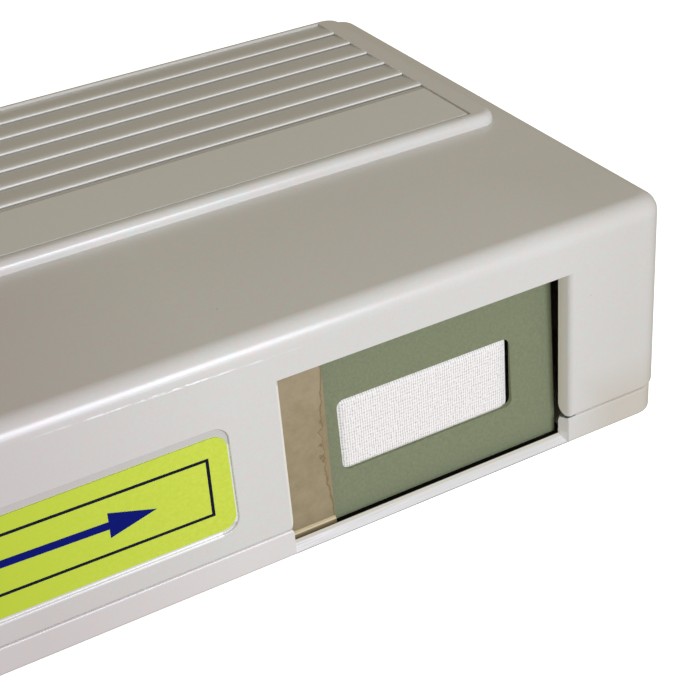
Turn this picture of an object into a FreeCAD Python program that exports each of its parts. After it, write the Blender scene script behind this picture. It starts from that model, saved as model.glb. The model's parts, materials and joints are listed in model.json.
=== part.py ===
"""Fibre optic cleaning cassette: a hand-held case with a sliding shutter over a window of cleaning tape.

Millimetres. X runs along the window side, Y from the window face (negative) to the back, Z up.
The origin is the middle of the underside. The case is stored with the lever pressed and the shutter open.
"""
import FreeCAD
import Part
import math
import os

Vec = FreeCAD.Vector
UP = Vec(0, 0, 1)

# Case: overall size, wall, seam
LENGTH = 115.0
WIDTH = 79.0
TOP = 31.0              # flat lid
CREST = 32.6            # top of the raised panel, the overall height
SEAM = 4.2              # height of the joint between the two shells
SEAM_GAP = 0.25         # shadow groove round the joint
SEAM_RIM = 0.6          # and its depth
CORNER = 3.2
TOP_ROUND = 2.3
SEAM_ROUND = 0.35
WALL = 2.0
FRONT_WALL = 1.5        # thinner, to leave room for the shutter
ROOF = 29.0
BASE_INSET = 0.25
BASE_ROUND = 0.6
FLOOR = 2.0
FRONT = -WIDTH / 2
BACK = WIDTH / 2
LEFT = -LENGTH / 2
RIGHT = LENGTH / 2

# Window
WIN_X0 = 4.0
WIN_X1 = 43.2
WIN_TOP = 24.9
WIN_FLARE = 0.85        # how far the right edge opens outwards through the wall
LEFT_EDGE_ROUND = 0.4
RIGHT_EDGE_ROUND = 0.9
STOP_X0 = 43.9          # stop behind the right end of the plate
STOP_X1 = 45.2
STOP_DEPTH = 3.0
NOTCH = 0.5             # how far the jambs fall back at the seam
NOTCH_ABOVE = 1.9
NOTCH_BELOW = 0.95
SILL_OUT = 0.2          # height of the sill at the outside
SILL_IN = 1.35          # and at its inner edge
SILL_DEPTH = 1.6
TRACK_FLOOR = 0.5
TRACK_DEPTH = 5.0
TRACK_X0 = -34.7

# Raised panel: a rounded rim, and inside it a tray for the label strip and shallow saw-tooth ribs
PANEL_X = 53.4
PANEL_Y0 = -9.35
PANEL_Y1 = 36.6
PANEL_CORNER = 2.5
PANEL_ROUND = 1.1
TRAY_X = 50.0
TRAY_Y0 = -7.8
TRAY = 32.22            # floor of the tray and foot of the ribs
RIB_Y0 = 5.05
RIB_PITCH = 5.03
RIB_COUNT = 6
RIB_TOP = 32.55
RIB_ROUND = 0.25

# Labels
LABEL_X0 = -46.0
LABEL_X1 = -2.9
LABEL_Z0 = 7.85
LABEL_Z1 = 20.6
LABEL_ROUND = 1.8
LABEL_THICK = 0.15
RECESS = 0.3
RECESS_ROUND = 0.14     # at the rim and at the foot of the recess
RECESS_SIDE = 0.5       # how far the recess reaches past the label at the left and below
RECESS_END = 0.25       # at the right
RECESS_ABOVE = 1.0
STRIP_X = 49.6
STRIP_Y0 = -7.35
STRIP_Y1 = 3.5
STRIP_THICK = 0.36

# Window plate and shutter
PLATE_X0 = 4.2
PLATE_X1 = 42.65
PLATE_DEPTH = 2.7
PLATE_THICK = 1.0
PLATE_TOP = 26.0
PLATE_FOOT = 0.9
PLATE_FEET = ((4.2, 8.2), (40.0, 42.0))
PLATE_FEET_DEPTH = 3.2
PLATE_LEAN = 2.2
APERTURE = (12.33, 36.35, 7.15, 16.85)
APERTURE_ROUND = 1.0
SHUTTER_X0 = -34.3
SHUTTER_X1 = 10.2
SHUTTER_FOOT = 0.95
SHUTTER_TOP = 26.2
SHUTTER_FACE = 1.95     # depth of its front behind the window face
SHUTTER_BACK = 2.55
SHUTTER_LIP = 1.62
LIP_TOP = 2.1
LIP_ROUND = 0.3
TAB_X0 = -34.3
TAB_X1 = -29.2
TAB_Y1 = -28.8
TAB_Z0 = 5.4
TAB_Z1 = 6.3

# Tape, rollers and pad
TAPE_Z0 = 6.5
TAPE_Z1 = 18.1
TAPE_THICK = 0.3
TAPE_GAP = 0.05
ROLLER_R = 2.5
ROLLERS = {"left": (7.5, -32.2), "right": (35.2, -29.3)}
ROLLER_Z0 = 5.8
ROLLER_Z1 = 20.4
ROLLER_PIN_R = 1.0
ROLLER_PIN_Z0 = 0.8
ROLLER_PIN_Z1 = 21.4
ROLLER_POST_R = 2.0
ROLLER_POST_TOP = 5.6
TAPE_DEPTH = 3.6        # of the tape's face, behind the window face
CHANNEL = (5.0, 41.5, 6.2, 18.4)    # in the back of the plate, for the tape
CHANNEL_DEPTH = 3.55
PAD = (12.0, 35.4, 7.0, 17.0)
PAD_FRONT = FRONT + TAPE_DEPTH + TAPE_THICK + TAPE_GAP
PAD_BACK = -32.2
PAD_ROUND = 0.35
HOLDER_X0 = 12.0
HOLDER_X1 = 31.8
HOLDER_BACK = -30.4
HOLDER_TOP = 20.0
HOLDER_FOOT_Y = -23.0
HOLDER_FOOT_TOP = 3.8
PEG_R = 1.5
PEG_TOP = 4.6
PEG_X = (16.0, 28.0)
PEG_Y = -26.5

# Reels
TAKE_UP = (-15.5, 8.0)
SUPPLY = (30.0, 10.0)
SPINDLE_R = 3.0
SPINDLE_TOP = 23.0
RUNNING = 0.05          # radial running clearance
FLANGE_R = 21.5
FLANGE_Z0 = 5.3
FLANGE = 1.0
FLANGE_Z1 = 19.4
HUB_R = 7.0
HUB_TOP = 21.1
CUP_R = 5.5
CUP_TOP = 14.0
USED_R = 12.0
FRESH_R = 18.0
SPOKE_HOLES = 6
SPOKE_R = 3.0
SPOKE_AT = 14.5
CLIP_R = 5.5
CLIP_Z0 = 21.2
CLIP_Z1 = 21.9
WASHER_R0 = 4.0
WASHER_R1 = 9.0
WASHER_Z0 = 4.3
SUPPLY_FOOT_R = 10.0
TAKE_UP_FOOT_R = 4.6
TAKE_UP_FOOT_TOP = 3.6

# Lever and feed arm
PIVOT = (-50.0, 31.0)
LEVER_SWING = 14.6
PRESSED = LEVER_SWING / 2   # turn of the stored pose from mid stroke
SHORT_ARM = 9.5
LEVER_HUB_R = 4.0
LEVER_PIN_R = 1.5
LEVER_PIN_Z0 = 0.8
LEVER_PIN_Z1 = 28.0
LEVER_BOSS_Z0 = 25.2
ARM_Z0 = 2.3
ARM_Z1 = 3.5
ARM_HALF = 3.0
DRIVE_PIN_R = 1.5
DRIVE_PIN_TOP = 4.9
PAD_Z0 = 7.0
PAD_Z1 = 24.5
SLOT_Z0 = 6.5
SLOT_Z1 = 25.0
PAD_FACE = -57.4
PAD_FAR = 58.9
PAD_NEAR = 10.25
PAD_INNER = 3.2
PAD_SKIN = 1.8
SLOT_FAR = 59.25
SLOT_NEAR = 10.0
WEB_Z0 = 12.0
WEB = (0.5, 5.0, 22.0)      # inner offset, outer offset and length of the web to the hub
POCKET_START = 24.0
POCKET_BACK = -15.0         # the pocket's cutter ends well inside the case
GRIP_COUNT = 5
GRIP_PITCH = 3.0
GRIP_R = 0.5
GRIP_Y = -20.0
FEED_Z0 = 3.8
FEED_Z1 = 5.0
FEED_HUB_R = 5.2
FEED_BOSS_R = 3.9
FEED_BOSS_TOP = 13.5
FEED_HALF = 3.2
FORK_Y = -31.0          # line along which the shutter's pin travels
FORK_END = 44.0
FORK_START = 36.0
FORK_CLEAR = 0.5
SHORT_SLOT = (6.8, 13.2)
SHORT_SLOT_CLEAR = 0.3
SHORT_END = 13.0

# Springs
LEVER_COIL_R = 4.75
LEVER_WIRE_R = 0.3
LEVER_COIL_Z0 = 4.6
LEVER_COIL_PITCH = 0.9
LEVER_COIL_TURNS = 5
LEVER_LEG = (2.85, 3.8, 16.0)
LEVER_LEG_Y = 37.2
CLUTCH_COIL_R = 4.35
CLUTCH_WIRE_R = 0.25
CLUTCH_COIL_Z0 = 6.4
CLUTCH_COIL_PITCH = 1.1
CLUTCH_COIL_TURNS = 5
CLUTCH_LEG = 1.0

# Screws
SCREWS = ((51.0, 33.0), (51.0, -31.5), (-50.5, -32.3), (-28.0, 33.8))
BOSS_R = 3.3
BOSS_FOOT_TOP = 6.0
PILOT_R = 1.15
PILOT_TOP = 18.0
SCREW_R = 1.1
SCREW_TOP = 15.0
HEAD_R = 2.4
HEAD_Z0 = 0.3
HEAD_Z1 = 2.2
HEAD_SINK_R = 2.7
DRIVE_WIDTH = 0.7
DRIVE_LENGTH = 3.0
DRIVE_DEPTH = 1.0

EPS = 0.5               # how far a cutter runs past the face it cuts
NEAR = 1e-3             # tolerance for finding an edge by its place


def block(x0, x1, y0, y1, z0, z1):
    return Part.makeBox(x1 - x0, y1 - y0, z1 - z0, Vec(x0, y0, z0))


def rod(at, radius, z0, z1):
    return Part.makeCylinder(radius, z1 - z0, Vec(at[0], at[1], z0))


def tube(at, inner, outer, z0, z1):
    return rod(at, outer, z0, z1).cut(rod(at, inner, z0 - EPS, z1 + EPS))


def slab(points, z0, z1):
    """A flat piece with the given outline in plan."""
    outline = Part.makePolygon([Vec(x, y, z0) for x, y in points + points[:1]])
    return Part.Face(outline).extrude(Vec(0, 0, z1 - z0))


def join(shapes):
    whole = shapes[0]
    for shape in shapes[1:]:
        whole = whole.fuse(shape)
    return whole.removeSplitter()


def edges_along(shape, axis):
    """Straight edges that run along X, Y or Z."""
    found = []
    for edge in shape.Edges:
        if isinstance(edge.Curve, Part.Line) and abs(getattr(edge.Curve.Direction, axis)) > 0.999:
            found.append(edge)
    return found


def edges_at(shape, z):
    """Edges that lie wholly in one level."""
    return [e for e in shape.Edges if abs(e.BoundBox.ZMin - z) < NEAR and abs(e.BoundBox.ZMax - z) < NEAR]


def rounded_block(x0, x1, y0, y1, z0, z1, radius, axis="z"):
    """A block with the four edges along one axis rounded."""
    shape = block(x0, x1, y0, y1, z0, z1)
    return shape.makeFillet(radius, edges_along(shape, axis))


def turned(shape, at, degrees):
    """The shape turned in plan about a point."""
    copy = shape.copy()
    copy.rotate(Vec(at[0], at[1], 0), UP, degrees)
    return copy


def polar(at, radius, degrees):
    angle = math.radians(degrees)
    return (at[0] + radius * math.cos(angle), at[1] + radius * math.sin(angle))


def bearing(a, b):
    return math.degrees(math.atan2(b[1] - a[1], b[0] - a[0]))


def coil(at, radius, wire, z0, pitch, turns):
    """A helical wire with round section, standing on z0."""
    path = Part.makeHelix(pitch, pitch * turns, radius)
    section = Part.Wire(Part.makeCircle(wire, Vec(radius, 0, 0), Vec(0, 1, 0)))
    shape = Part.Wire(path.Edges).makePipeShell([section], True, True)
    shape.translate(Vec(at[0], at[1], z0))
    return shape


def wire_leg(start, end, wire):
    """A straight end of a spring."""
    start = Vec(*start)
    end = Vec(*end)
    return Part.makeCylinder(wire, (end - start).Length, start, end - start)


def notch(x, side, rise):
    """What an easy curve takes off the foot of a jamb at the seam, or off the block below it."""
    tall = NOTCH_ABOVE if rise > 0 else NOTCH_BELOW
    radius = (tall ** 2 + NOTCH ** 2) / (2 * NOTCH)
    depth = FRONT_WALL + 2 * EPS
    x1 = x + side * NOTCH
    z1 = SEAM + rise * tall
    square = block(min(x, x1), max(x, x1), FRONT - EPS, FRONT - EPS + depth, min(SEAM, z1), max(SEAM, z1))
    kept = Part.makeCylinder(radius, depth, Vec(x + side * radius, FRONT - EPS, z1), Vec(0, 1, 0))
    return square.cut(kept)


def soft_corner(before, corner, after, radius):
    """The arc that rounds one corner of an outline."""
    back = (before - corner).normalize()
    on = (after - corner).normalize()
    half = back.getAngle(on) / 2
    reach = radius / math.tan(half)
    middle = corner + (back + on).normalize() * (radius / math.sin(half) - radius)
    return Part.Arc(corner + back * reach, middle, corner + on * reach).toShape()


def lines(points):
    return [Part.makeLine(a, b) for a, b in zip(points, points[1:])]


def window_opening(z0, z1):
    """The window through the front wall: a soft left edge, and a right edge that opens outwards."""
    outer = FRONT - EPS
    inner = FRONT + FRONT_WALL
    right = WIN_X1 - WIN_FLARE
    aside = Vec(1, 0, 0)
    near = Vec(WIN_X0, FRONT, z0)
    far = Vec(WIN_X1, FRONT, z0)
    left_arc = soft_corner(near - aside, near, Vec(WIN_X0, inner, z0), LEFT_EDGE_ROUND)
    right_arc = soft_corner(Vec(right, inner, z0), far, far + aside, RIGHT_EDGE_ROUND)
    start, rise = [v.Point for v in left_arc.Vertexes]
    fall, end = [v.Point for v in right_arc.Vertexes]
    behind = [rise, Vec(WIN_X0, inner + EPS, z0), Vec(right, inner + EPS, z0), Vec(right, inner, z0), fall]
    before = [end, Vec(end.x, outer, z0), Vec(start.x, outer, z0), start]
    outline = Part.Wire([left_arc] + lines(behind) + [right_arc] + lines(before))
    return Part.Face(outline).extrude(Vec(0, 0, z1 - z0))


def tooth(y):
    """Side view of one rib: a step with a rounded brow, then a long slope to the next foot."""
    brow = RIB_ROUND * (1 - math.sqrt(0.5))
    foot = Vec(-TRAY_X, y, TRAY)
    start = Vec(-TRAY_X, y, RIB_TOP - RIB_ROUND)
    middle = Vec(-TRAY_X, y + brow, RIB_TOP - brow)
    end = Vec(-TRAY_X, y + RIB_ROUND, RIB_TOP)
    following = Vec(-TRAY_X, y + RIB_PITCH, TRAY)
    arc = Part.Arc(start, middle, end).toShape()
    return [Part.makeLine(foot, start), arc, Part.makeLine(end, following)]


def raised_panel():
    """Panel on the lid with a rounded rim, cut down inside to the label's tray and the ribs."""
    panel = rounded_block(-PANEL_X, PANEL_X, PANEL_Y0, PANEL_Y1, TOP - EPS, CREST, PANEL_CORNER)
    panel = panel.makeFillet(PANEL_ROUND, edges_at(panel, CREST))
    above = CREST + EPS
    rear = RIB_Y0 + RIB_COUNT * RIB_PITCH
    front = [Vec(-TRAY_X, rear, TRAY), Vec(-TRAY_X, rear, above), Vec(-TRAY_X, TRAY_Y0, above),
             Vec(-TRAY_X, TRAY_Y0, TRAY), Vec(-TRAY_X, RIB_Y0, TRAY)]
    outline = lines(front)
    for i in range(RIB_COUNT):
        outline += tooth(RIB_Y0 + i * RIB_PITCH)
    return panel.cut(Part.Face(Part.Wire(outline)).extrude(Vec(2 * TRAY_X, 0, 0)))


def lever_frame(offset, along):
    """A point on the lever: offset towards the outside of the case, and distance from the pivot."""
    angle = math.radians(LEVER_SWING)
    outward = (-math.cos(angle), -math.sin(angle))
    forward = (math.sin(angle), -math.cos(angle))
    return (PIVOT[0] + offset * outward[0] + along * forward[0],
            PIVOT[1] + offset * outward[1] + along * forward[1])


def cavity(z0, z1):
    """The space inside the walls, between two levels."""
    return rounded_block(LEFT + WALL, RIGHT - WALL, FRONT + FRONT_WALL, BACK - WALL, z0, z1, CORNER - WALL)


def label_recess(shell):
    """Sinks the bed of the front label, with a soft rim and foot."""
    bed = rounded_block(LABEL_X0 - RECESS_SIDE, LABEL_X1 + RECESS_END, FRONT - EPS, FRONT + RECESS,
                        LABEL_Z0 - RECESS_SIDE, LABEL_Z1 + RECESS_ABOVE, LABEL_ROUND, "y")
    around = bed.BoundBox
    around.enlarge(NEAR)
    shell = shell.cut(bed)
    soft = []
    for edge in shell.Edges:
        box = edge.BoundBox
        level = min(abs(box.YMin - FRONT), abs(box.YMin - FRONT - RECESS)) < NEAR
        if level and box.YLength < NEAR and around.isInside(box):
            soft.append(edge)
    return shell.makeFillet(RECESS_ROUND, soft)


def make_upper_shell():
    shell = rounded_block(LEFT, RIGHT, FRONT, BACK, SEAM, TOP, CORNER)
    shell = shell.makeFillet(TOP_ROUND, edges_at(shell, TOP))
    shell = shell.makeFillet(SEAM_ROUND, edges_at(shell, SEAM))
    shell = shell.cut(cavity(SEAM - EPS, ROOF))
    # Bosses for the screws and the lever's pin, and the stop beside the plate
    adds = [rod(at, BOSS_R, BOSS_FOOT_TOP, ROOF + EPS) for at in SCREWS]
    adds.append(rod(PIVOT, LEVER_HUB_R, LEVER_BOSS_Z0, ROOF + EPS))
    adds.append(block(STOP_X0, STOP_X1, FRONT + EPS, FRONT + STOP_DEPTH, SEAM, ROOF + EPS))
    adds.append(raised_panel())
    shell = join([shell] + adds)
    shell = label_recess(shell)
    # Window, lever slot and holes
    cuts = [window_opening(SEAM - EPS, WIN_TOP)]
    cuts += [notch(WIN_X0, -1, 1), notch(WIN_X1 - WIN_FLARE, 1, 1)]
    slot = block(LEFT - EPS, LEFT + WALL + EPS, FRONT + CORNER, BACK, SLOT_Z0, SLOT_Z1)
    cuts.append(slot.common(tube(PIVOT, SLOT_NEAR, SLOT_FAR, SLOT_Z0, SLOT_Z1)).common(
        block(LEFT - EPS, RIGHT, FRONT, PIVOT[1] - LEVER_HUB_R, SLOT_Z0, SLOT_Z1)))
    cuts.append(rod(PIVOT, LEVER_PIN_R, LEVER_BOSS_Z0 - EPS, LEVER_PIN_Z1))
    for at in SCREWS:
        cuts.append(rod(at, PILOT_R, BOSS_FOOT_TOP - EPS, PILOT_TOP))
    return shell.cut(cuts)


def make_base_shell():
    x0 = LEFT + BASE_INSET
    x1 = RIGHT - BASE_INSET
    y0 = FRONT + BASE_INSET
    y1 = BACK - BASE_INSET
    brim = SEAM - SEAM_GAP
    shell = rounded_block(x0, x1, y0, y1, 0, brim, CORNER - BASE_INSET)
    shell = shell.makeFillet(BASE_ROUND, edges_at(shell, 0))
    shell = shell.makeFillet(SEAM_ROUND, edges_at(shell, brim))
    rim = rounded_block(x0 + SEAM_RIM, x1 - SEAM_RIM, y0 + SEAM_RIM, y1 - SEAM_RIM, brim - EPS, SEAM,
                        CORNER - BASE_INSET - SEAM_RIM)
    shell = join([shell, rim]).cut(cavity(FLOOR, SEAM + EPS))
    # Spindles, roller posts, pegs for the pad holder, screw feet and the stop beside the plate
    adds = [rod(at, SPINDLE_R, FLOOR - EPS, SPINDLE_TOP) for at in (TAKE_UP, SUPPLY)]
    adds.append(rod(TAKE_UP, TAKE_UP_FOOT_R, FLOOR - EPS, TAKE_UP_FOOT_TOP))
    adds.append(rod(SUPPLY, SUPPLY_FOOT_R, FLOOR - EPS, WASHER_Z0))
    adds += [rod(at, ROLLER_POST_R, FLOOR - EPS, ROLLER_POST_TOP) for at in ROLLERS.values()]
    adds += [rod((x, PEG_Y), PEG_R, FLOOR - EPS, PEG_TOP) for x in PEG_X]
    adds += [rod(at, BOSS_R, FLOOR - EPS, BOSS_FOOT_TOP) for at in SCREWS]
    adds.append(block(STOP_X0, STOP_X1, FRONT + FRONT_WALL - EPS, FRONT + STOP_DEPTH, FLOOR - EPS, SEAM))
    shell = join([shell] + adds)
    # Window: the front wall is cut down to a sloped sill, with the shutter's track behind it
    inner = FRONT + SILL_DEPTH
    above = SEAM + EPS
    section = [(FRONT, above), (FRONT, SILL_OUT), (FRONT + BASE_INSET, SILL_OUT),
               (inner, SILL_IN), (inner, above)]
    sill = Part.makePolygon([Vec(0, y, z) for y, z in section + section[:1]])
    cuts = [Part.Face(sill).extrude(Vec(RIGHT, 0, 0)).common(window_opening(0, above))]
    cuts += [notch(WIN_X0, -1, -1), notch(WIN_X1 - WIN_FLARE, 1, -1)]
    cuts.append(block(TRACK_X0, WIN_X1, inner, FRONT + TRACK_DEPTH, TRACK_FLOOR, above))
    cuts.append(rod(PIVOT, LEVER_PIN_R, LEVER_PIN_Z0, FLOOR + EPS))
    cuts += [rod(at, ROLLER_PIN_R, ROLLER_PIN_Z0, ROLLER_POST_TOP + EPS) for at in ROLLERS.values()]
    for at in SCREWS:
        cuts.append(rod(at, HEAD_SINK_R, -EPS, HEAD_Z1))
        cuts.append(rod(at, PILOT_R, 0, BOSS_FOOT_TOP + EPS))
    return shell.cut(cuts)


def make_case_screws():
    screws = []
    for x, y in SCREWS:
        shape = rod((x, y), HEAD_R, HEAD_Z0, HEAD_Z1).fuse(rod((x, y), SCREW_R, HEAD_Z1, SCREW_TOP))
        half = DRIVE_LENGTH / 2
        thin = DRIVE_WIDTH / 2
        bar = block(x - half, x + half, y - thin, y + thin, HEAD_Z0 - EPS, HEAD_Z0 + DRIVE_DEPTH)
        screws.append(shape.cut([bar, turned(bar, (x, y), 90)]))
    return Part.makeCompound(screws)


def make_window_plate():
    y0 = FRONT + PLATE_DEPTH
    y1 = y0 + PLATE_THICK
    plate = block(PLATE_X0, PLATE_X1, y0, y1, PLATE_FOOT, PLATE_TOP)
    feet = [block(a, b, FRONT + PLATE_FEET_DEPTH, y1, TRACK_FLOOR, PLATE_FOOT + EPS) for a, b in PLATE_FEET]
    plate = join([plate] + feet)
    x0, x1, z0, z1 = APERTURE
    plate = plate.cut(rounded_block(x0, x1, y0 - EPS, y1 + EPS, z0, z1, APERTURE_ROUND, "y"))
    plate.rotate(Vec(0, y1, TRACK_FLOOR), Vec(1, 0, 0), -PLATE_LEAN)
    # The tape runs upright, so its channel in the leaning plate is upright too
    x0, x1, z0, z1 = CHANNEL
    return plate.cut(block(x0, x1, FRONT + CHANNEL_DEPTH, y1 + PLATE_THICK, z0, z1))


def make_shutter():
    face = FRONT + SHUTTER_FACE
    back = FRONT + SHUTTER_BACK
    plate = block(SHUTTER_X0, SHUTTER_X1, face, back, SHUTTER_FOOT, SHUTTER_TOP)
    lip = block(SHUTTER_X0, SHUTTER_X1, FRONT + SHUTTER_LIP, back, SHUTTER_FOOT, LIP_TOP)
    brow = [e for e in edges_at(lip, LIP_TOP) if abs(e.BoundBox.YMax - FRONT - SHUTTER_LIP) < NEAR]
    lip = lip.makeFillet(LIP_ROUND, brow)
    tab = block(TAB_X0, TAB_X1, face, TAB_Y1, TAB_Z0, TAB_Z1)
    return join([plate, lip, tab, rod(shutter_pin(), DRIVE_PIN_R, FEED_Z0, TAB_Z0 + EPS)])


def feed_turn():
    """Turn of the feed arm in the stored pose, from mid stroke."""
    drive = drive_pin()
    return bearing(TAKE_UP, drive) - bearing(TAKE_UP, PIVOT)


def drive_pin():
    """Where the lever's drive pin stands in the stored pose."""
    reach = math.dist(PIVOT, TAKE_UP) - SHORT_ARM
    return polar(PIVOT, reach, bearing(PIVOT, TAKE_UP) + PRESSED)


def shutter_pin():
    """Where the shutter's pin stands in the stored pose: on its line of travel, amid the fork."""
    return (TAKE_UP[0] + (TAKE_UP[1] - FORK_Y) * math.tan(math.radians(feed_turn())), FORK_Y)


def make_lever():
    """Finger pad, its ends arcs about the pivot so that the slot's gaps stay the same, and an inner arm."""
    outline = [(PAD_FACE, PIVOT[1]), (PAD_FACE, FRONT),
               lever_frame(PAD_INNER, PAD_FAR + CORNER), lever_frame(PAD_INNER, 0)]
    pad = slab(outline, PAD_Z0, PAD_Z1).common(tube(PIVOT, PAD_NEAR, PAD_FAR, PAD_Z0, PAD_Z1))
    skin = PAD_FACE + PAD_SKIN
    outline = [(skin, PIVOT[1]), (skin, FRONT),
               lever_frame(POCKET_BACK, PAD_FAR), lever_frame(POCKET_BACK, 0)]
    hollow = slab(outline, PAD_Z0 + PAD_SKIN, PAD_Z1 - PAD_SKIN)
    hollow = hollow.common(tube(PIVOT, POCKET_START, PAD_FAR - PAD_SKIN, PAD_Z0, PAD_Z1))
    grips = []
    for i in range(GRIP_COUNT):
        y = GRIP_Y + i * GRIP_PITCH
        grips.append(Part.makeCylinder(GRIP_R, PAD_Z1 - PAD_Z0, Vec(PAD_FACE, y, PAD_Z0), UP))
    pad = pad.cut([hollow] + grips)
    near, far, length = WEB
    outline = [lever_frame(near, 0), lever_frame(far, 0), lever_frame(far, length), lever_frame(near, length)]
    web = slab(outline, WEB_Z0, PAD_Z1)
    # Inner arm under the reel, with the drive pin at its end
    pin = drive_pin()
    reach = math.dist(PIVOT, pin)
    arm = block(PIVOT[0], PIVOT[0] + reach, PIVOT[1] - ARM_HALF, PIVOT[1] + ARM_HALF, ARM_Z0, ARM_Z1)
    arm = turned(arm, PIVOT, bearing(PIVOT, pin)).fuse(rod(pin, ARM_HALF, ARM_Z0, ARM_Z1))
    hub = rod(PIVOT, LEVER_HUB_R, ARM_Z0, PAD_Z1)
    shape = join([pad, web, hub, arm, rod(pin, DRIVE_PIN_R, ARM_Z1 - EPS, DRIVE_PIN_TOP)])
    return shape.cut(rod(PIVOT, LEVER_PIN_R + RUNNING, ARM_Z0 - EPS, PAD_Z1 + EPS))


def make_feed_arm():
    """Drawn at mid stroke, with the fork straight towards the window, then turned to the stored pose."""
    x, y = TAKE_UP
    width = DRIVE_PIN_R + FORK_CLEAR
    fork = block(x - FEED_HALF, x + FEED_HALF, y - FORK_END, y, FEED_Z0, FEED_Z1)
    gap = block(x - width, x + width, y - FORK_END - EPS, y - FORK_START, FEED_Z0 - EPS, FEED_Z1 + EPS)
    width = DRIVE_PIN_R + SHORT_SLOT_CLEAR
    short = block(x, x + SHORT_END, y - FEED_HALF, y + FEED_HALF, FEED_Z0, FEED_Z1)
    slot = block(x + SHORT_SLOT[0], x + SHORT_SLOT[1], y - width, y + width, FEED_Z0 - EPS, FEED_Z1 + EPS)
    towards = bearing(TAKE_UP, PIVOT)
    hub = rod(TAKE_UP, FEED_HUB_R, FEED_Z0, FEED_Z1)
    boss = rod(TAKE_UP, FEED_BOSS_R, FEED_Z0, FEED_BOSS_TOP)
    arm = join([hub, boss, fork, turned(short, TAKE_UP, towards)])
    bore = rod(TAKE_UP, SPINDLE_R + RUNNING, FEED_Z0 - EPS, FEED_BOSS_TOP + EPS)
    arm = arm.cut([gap, turned(slot, TAKE_UP, towards), bore])
    return turned(arm, TAKE_UP, feed_turn())


def make_reel(at, cup):
    """Spool with two lightened flanges. The take-up reel's hub is a cup over the clutch spring."""
    lower = rod(at, FLANGE_R, FLANGE_Z0, FLANGE_Z0 + FLANGE)
    upper = rod(at, FLANGE_R, FLANGE_Z1 - FLANGE, FLANGE_Z1)
    reel = join([rod(at, HUB_R, FLANGE_Z0, HUB_TOP), lower, upper])
    cuts = [rod(at, SPINDLE_R + RUNNING, FLANGE_Z0 - EPS, HUB_TOP + EPS)]
    if cup:
        cuts.append(rod(at, CUP_R, FLANGE_Z0 - EPS, CUP_TOP))
    for i in range(SPOKE_HOLES):
        spot = polar(at, SPOKE_AT, i * 360 / SPOKE_HOLES)
        cuts.append(rod(spot, SPOKE_R, FLANGE_Z0 - EPS, FLANGE_Z1 + EPS))
    return reel.cut(cuts)


def make_clutch_spring():
    body = coil(TAKE_UP, CLUTCH_COIL_R, CLUTCH_WIRE_R, CLUTCH_COIL_Z0, CLUTCH_COIL_PITCH, CLUTCH_COIL_TURNS)
    top = CLUTCH_COIL_Z0 + CLUTCH_COIL_PITCH * CLUTCH_COIL_TURNS
    x = TAKE_UP[0] + CLUTCH_COIL_R
    y = TAKE_UP[1]
    leg = wire_leg((x - CLUTCH_WIRE_R / 2, y, top), (x + CLUTCH_LEG, y, top), CLUTCH_WIRE_R)
    return body.fuse(leg)


def make_lever_spring():
    offset, start, end = LEVER_LEG
    # The coil ends where its last turn faces the lever's pad, and the moving leg leaves it there
    turns = LEVER_COIL_TURNS + (bearing(PIVOT, lever_frame(offset, start)) % 360) / 360
    top = LEVER_COIL_Z0 + LEVER_COIL_PITCH * turns
    x = PIVOT[0] + LEVER_COIL_R
    body = coil(PIVOT, LEVER_COIL_R, LEVER_WIRE_R, LEVER_COIL_Z0, LEVER_COIL_PITCH, turns)
    fixed = wire_leg((x, PIVOT[1], LEVER_COIL_Z0), (x, LEVER_LEG_Y, LEVER_COIL_Z0), LEVER_WIRE_R)
    moving = wire_leg((*lever_frame(offset, start), top), (*lever_frame(offset, end), top), LEVER_WIRE_R)
    return join([body, fixed, moving])


def tangent(a, ra, b, rb):
    """Ends of the line that passes two circles on their right, and the bearing of its normal."""
    span = math.dist(a, b)
    normal = bearing(a, b) - math.degrees(math.acos((ra - rb) / span))
    return polar(a, ra, normal), polar(b, rb, normal), normal


def strip(a, b):
    """A straight run of tape between two points on its centreline."""
    half = TAPE_THICK / 2
    run = block(a[0], a[0] + math.dist(a, b), a[1] - half, a[1] + half, TAPE_Z0, TAPE_Z1)
    return turned(run, a, bearing(a, b))


def wrap(at, radius, start, end):
    """Tape bent round a roller, between two bearings."""
    half = TAPE_THICK / 2
    base = Vec(at[0], at[1], TAPE_Z0)
    outer = Part.makeCylinder(radius + half, TAPE_Z1 - TAPE_Z0, base, UP, end - start)
    inner = Part.makeCylinder(radius - half, TAPE_Z1 - TAPE_Z0, base, UP, end - start)
    return turned(outer.cut(inner), at, start)


def make_cleaning_tape():
    """From the take-up roll round the left roller, past the pad, round the right roller to the supply roll."""
    lift = TAPE_GAP + TAPE_THICK / 2
    x0, x1, _, _ = PAD
    y = PAD_FRONT + PAD_ROUND
    stations = [(TAKE_UP, USED_R), (ROLLERS["left"], ROLLER_R), ((x0 + PAD_ROUND, y), PAD_ROUND),
                ((x1 - PAD_ROUND, y), PAD_ROUND), (ROLLERS["right"], ROLLER_R), (SUPPLY, FRESH_R)]
    pieces = []
    arriving = None
    for (a, ra), (b, rb) in zip(stations, stations[1:]):
        start, end, leaving = tangent(a, ra + lift, b, rb + lift)
        if pieces:
            pieces.append(wrap(a, ra + lift, arriving, leaving))
        pieces.append(strip(start, end))
        arriving = leaving
    return join(pieces)


def make_roller(at):
    return tube(at, ROLLER_PIN_R + RUNNING, ROLLER_R, ROLLER_Z0, ROLLER_Z1)


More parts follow.
